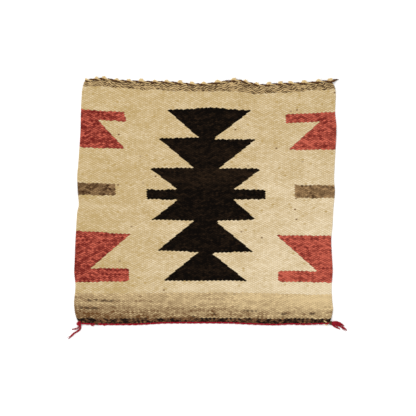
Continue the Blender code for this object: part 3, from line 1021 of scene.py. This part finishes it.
low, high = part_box("bottom_left_tassel")
root = (high.x - 4.6 * MM, high.y - 4.0 * MM)
knot = (root[0] + 0.4 * MM, root[1] + 2.8 * MM)
tubes = [overhand_knot(knot, (11.0, 12.0, 6.6), 1.8 * MM, 0.5)]
tubes += strand(root, [(0.6, 0.4, 3.4), (2.4, -4.2, 3.8), (1.2, -8.6, 3.8), (-2.6, -11.9, 3.6),
                       (-6.8, -14.4, 3.4), (-11.2, -17.2, 3.6), (-14.2, -20.4, 3.4),
                       (-18.0, -24.2, 2.0), (-21.4, -27.6, 0.8)], 3, 21)
tubes += strand(root, [(-0.4, 0.2, 2.6), (-1.8, -5.0, 2.8), (-5.6, -7.3, 3.0),
                       (-10.0, -7.7, 2.4), (-14.0, -8.8, 0.8)], 2, 22)
left_tassel = yarn_piece("left_tassel", tubes, "bottom_left_tassel")
dress(left_tassel, crimson_yarn)

low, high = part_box("bottom_right_tassel")
root = (low.x + 3.6 * MM, high.y - 3.5 * MM)
knot = (root[0] - 3.2 * MM, root[1] + 1.6 * MM)
tubes = strand(root, [(-1.6, 2.2, 3.6), (3.0, 2.6, 4.0), (7.6, 3.2, 4.0), (13.0, 2.0, 3.8),
                      (18.8, -1.4, 3.4), (24.4, -4.4, 1.2)], 3, 31)
tubes += strand(root, [(-1.0, 0.6, 3.4), (6.0, 0.4, 4.2), (12.0, -1.6, 3.4), (17.0, -3.4, 2.2),
                       (20.0, -3.6, 0.8)], 3, 34)
tubes += strand(root, [(-1.0, -0.4, 3.4), (9.0, -2.6, 3.4), (16.6, -5.6, 3.2), (22.2, -8.0, 3.6),
                       (26.4, -10.6, 3.0), (30.2, -14.0, 1.0)], 3, 32)
tubes += strand(root, [(0.4, -1.4, 3.4), (5.0, -5.0, 3.8), (10.2, -7.8, 3.4),
                       (16.4, -11.0, 1.0)], 3, 33)
right_tassel = yarn_piece("right_tassel", tubes, "bottom_right_tassel")
dress(right_tassel, crimson_yarn)
tubes = [overhand_knot(knot, (8.6, 9.0, 6.2), 1.55 * MM, 0.2)]
dark_knot = yarn_piece("right_dark_knot", tubes, "bottom_right_tassel")
dress(dark_knot, dark_yarn)

# Two bits of the cream warp show by the right corner, where its last loop
# comes through the dark rows and turns under the crimson cord. Near the left
# corner a turn of the dark weft lies over the cord.
WARP_ENDS = [
    [(226.8, -219.2, 3.0), (228.4, -220.2, 4.1), (230.2, -221.0, 4.0), (231.4, -222.4, 2.6)],
    [(229.2, -225.4, 2.4), (230.2, -226.8, 2.6), (231.8, -227.4, 2.4), (233.2, -226.2, 1.6)],
]
DARK_TURN = [(-220.0, -220.6, 3.4), (-219.0, -223.4, 4.4), (-217.0, -225.8, 4.2),
             (-214.6, -226.8, 2.0)]


def short_turn(corners, thickness):
    """A short bit of yarn that lies on the cloth, through corners in mm."""
    path = smooth_path(np.array(corners) * MM, 0.5 * MM)
    path[:, 2] += lift(path[:, :2] - SHIFT)
    return tube(path, thickness, spin=4 * MM, sides=8)


warp_loop = yarn_piece("warp_loop", [short_turn(end, 1.1 * MM) for end in WARP_ENDS], "woven_cloth")
dress(warp_loop, cream_yarn)
dark_turn = yarn_piece("dark_turn", [short_turn(DARK_TURN, 1.5 * MM)], "bottom_end_cord")
dress(dark_turn, dark_yarn)

# The studio: a wide pale floor, an even white surround and one soft lamp high
# at the left, with the camera straight above the rug.
bpy.ops.mesh.primitive_plane_add(size=8)
floor = bpy.context.object
floor.name = "floor"
floor_material, _, floor_shader = new_material("pale floor", 0.9)
floor_shader.inputs["Base Color"].default_value = (1.0, 1.0, 1.0, 1.0)
floor.data.materials.append(floor_material)

world = bpy.data.worlds.new("studio")
bpy.context.scene.world = world
world.use_nodes = True
world.node_tree.nodes["Background"].inputs["Color"].default_value = (1.0, 1.0, 1.0, 1.0)
world.node_tree.nodes["Background"].inputs["Strength"].default_value = 0.98

bpy.ops.object.light_add(type="AREA", location=(-1.0, 1.2, 2.6))
lamp = bpy.context.object
lamp.name = "soft_lamp"
lamp.data.size = 1.6
lamp.data.energy = 31
lamp.rotation_euler = Vector((1.0, -1.2, -2.6)).to_track_quat("-Z", "Y").to_euler()

bpy.ops.object.camera_add(location=(0.0007, 0.0008, 2.2590))
camera = bpy.context.object
camera.data.lens = 100
bpy.context.scene.camera = camera
bpy.context.scene.view_settings.view_transform = "Standard"
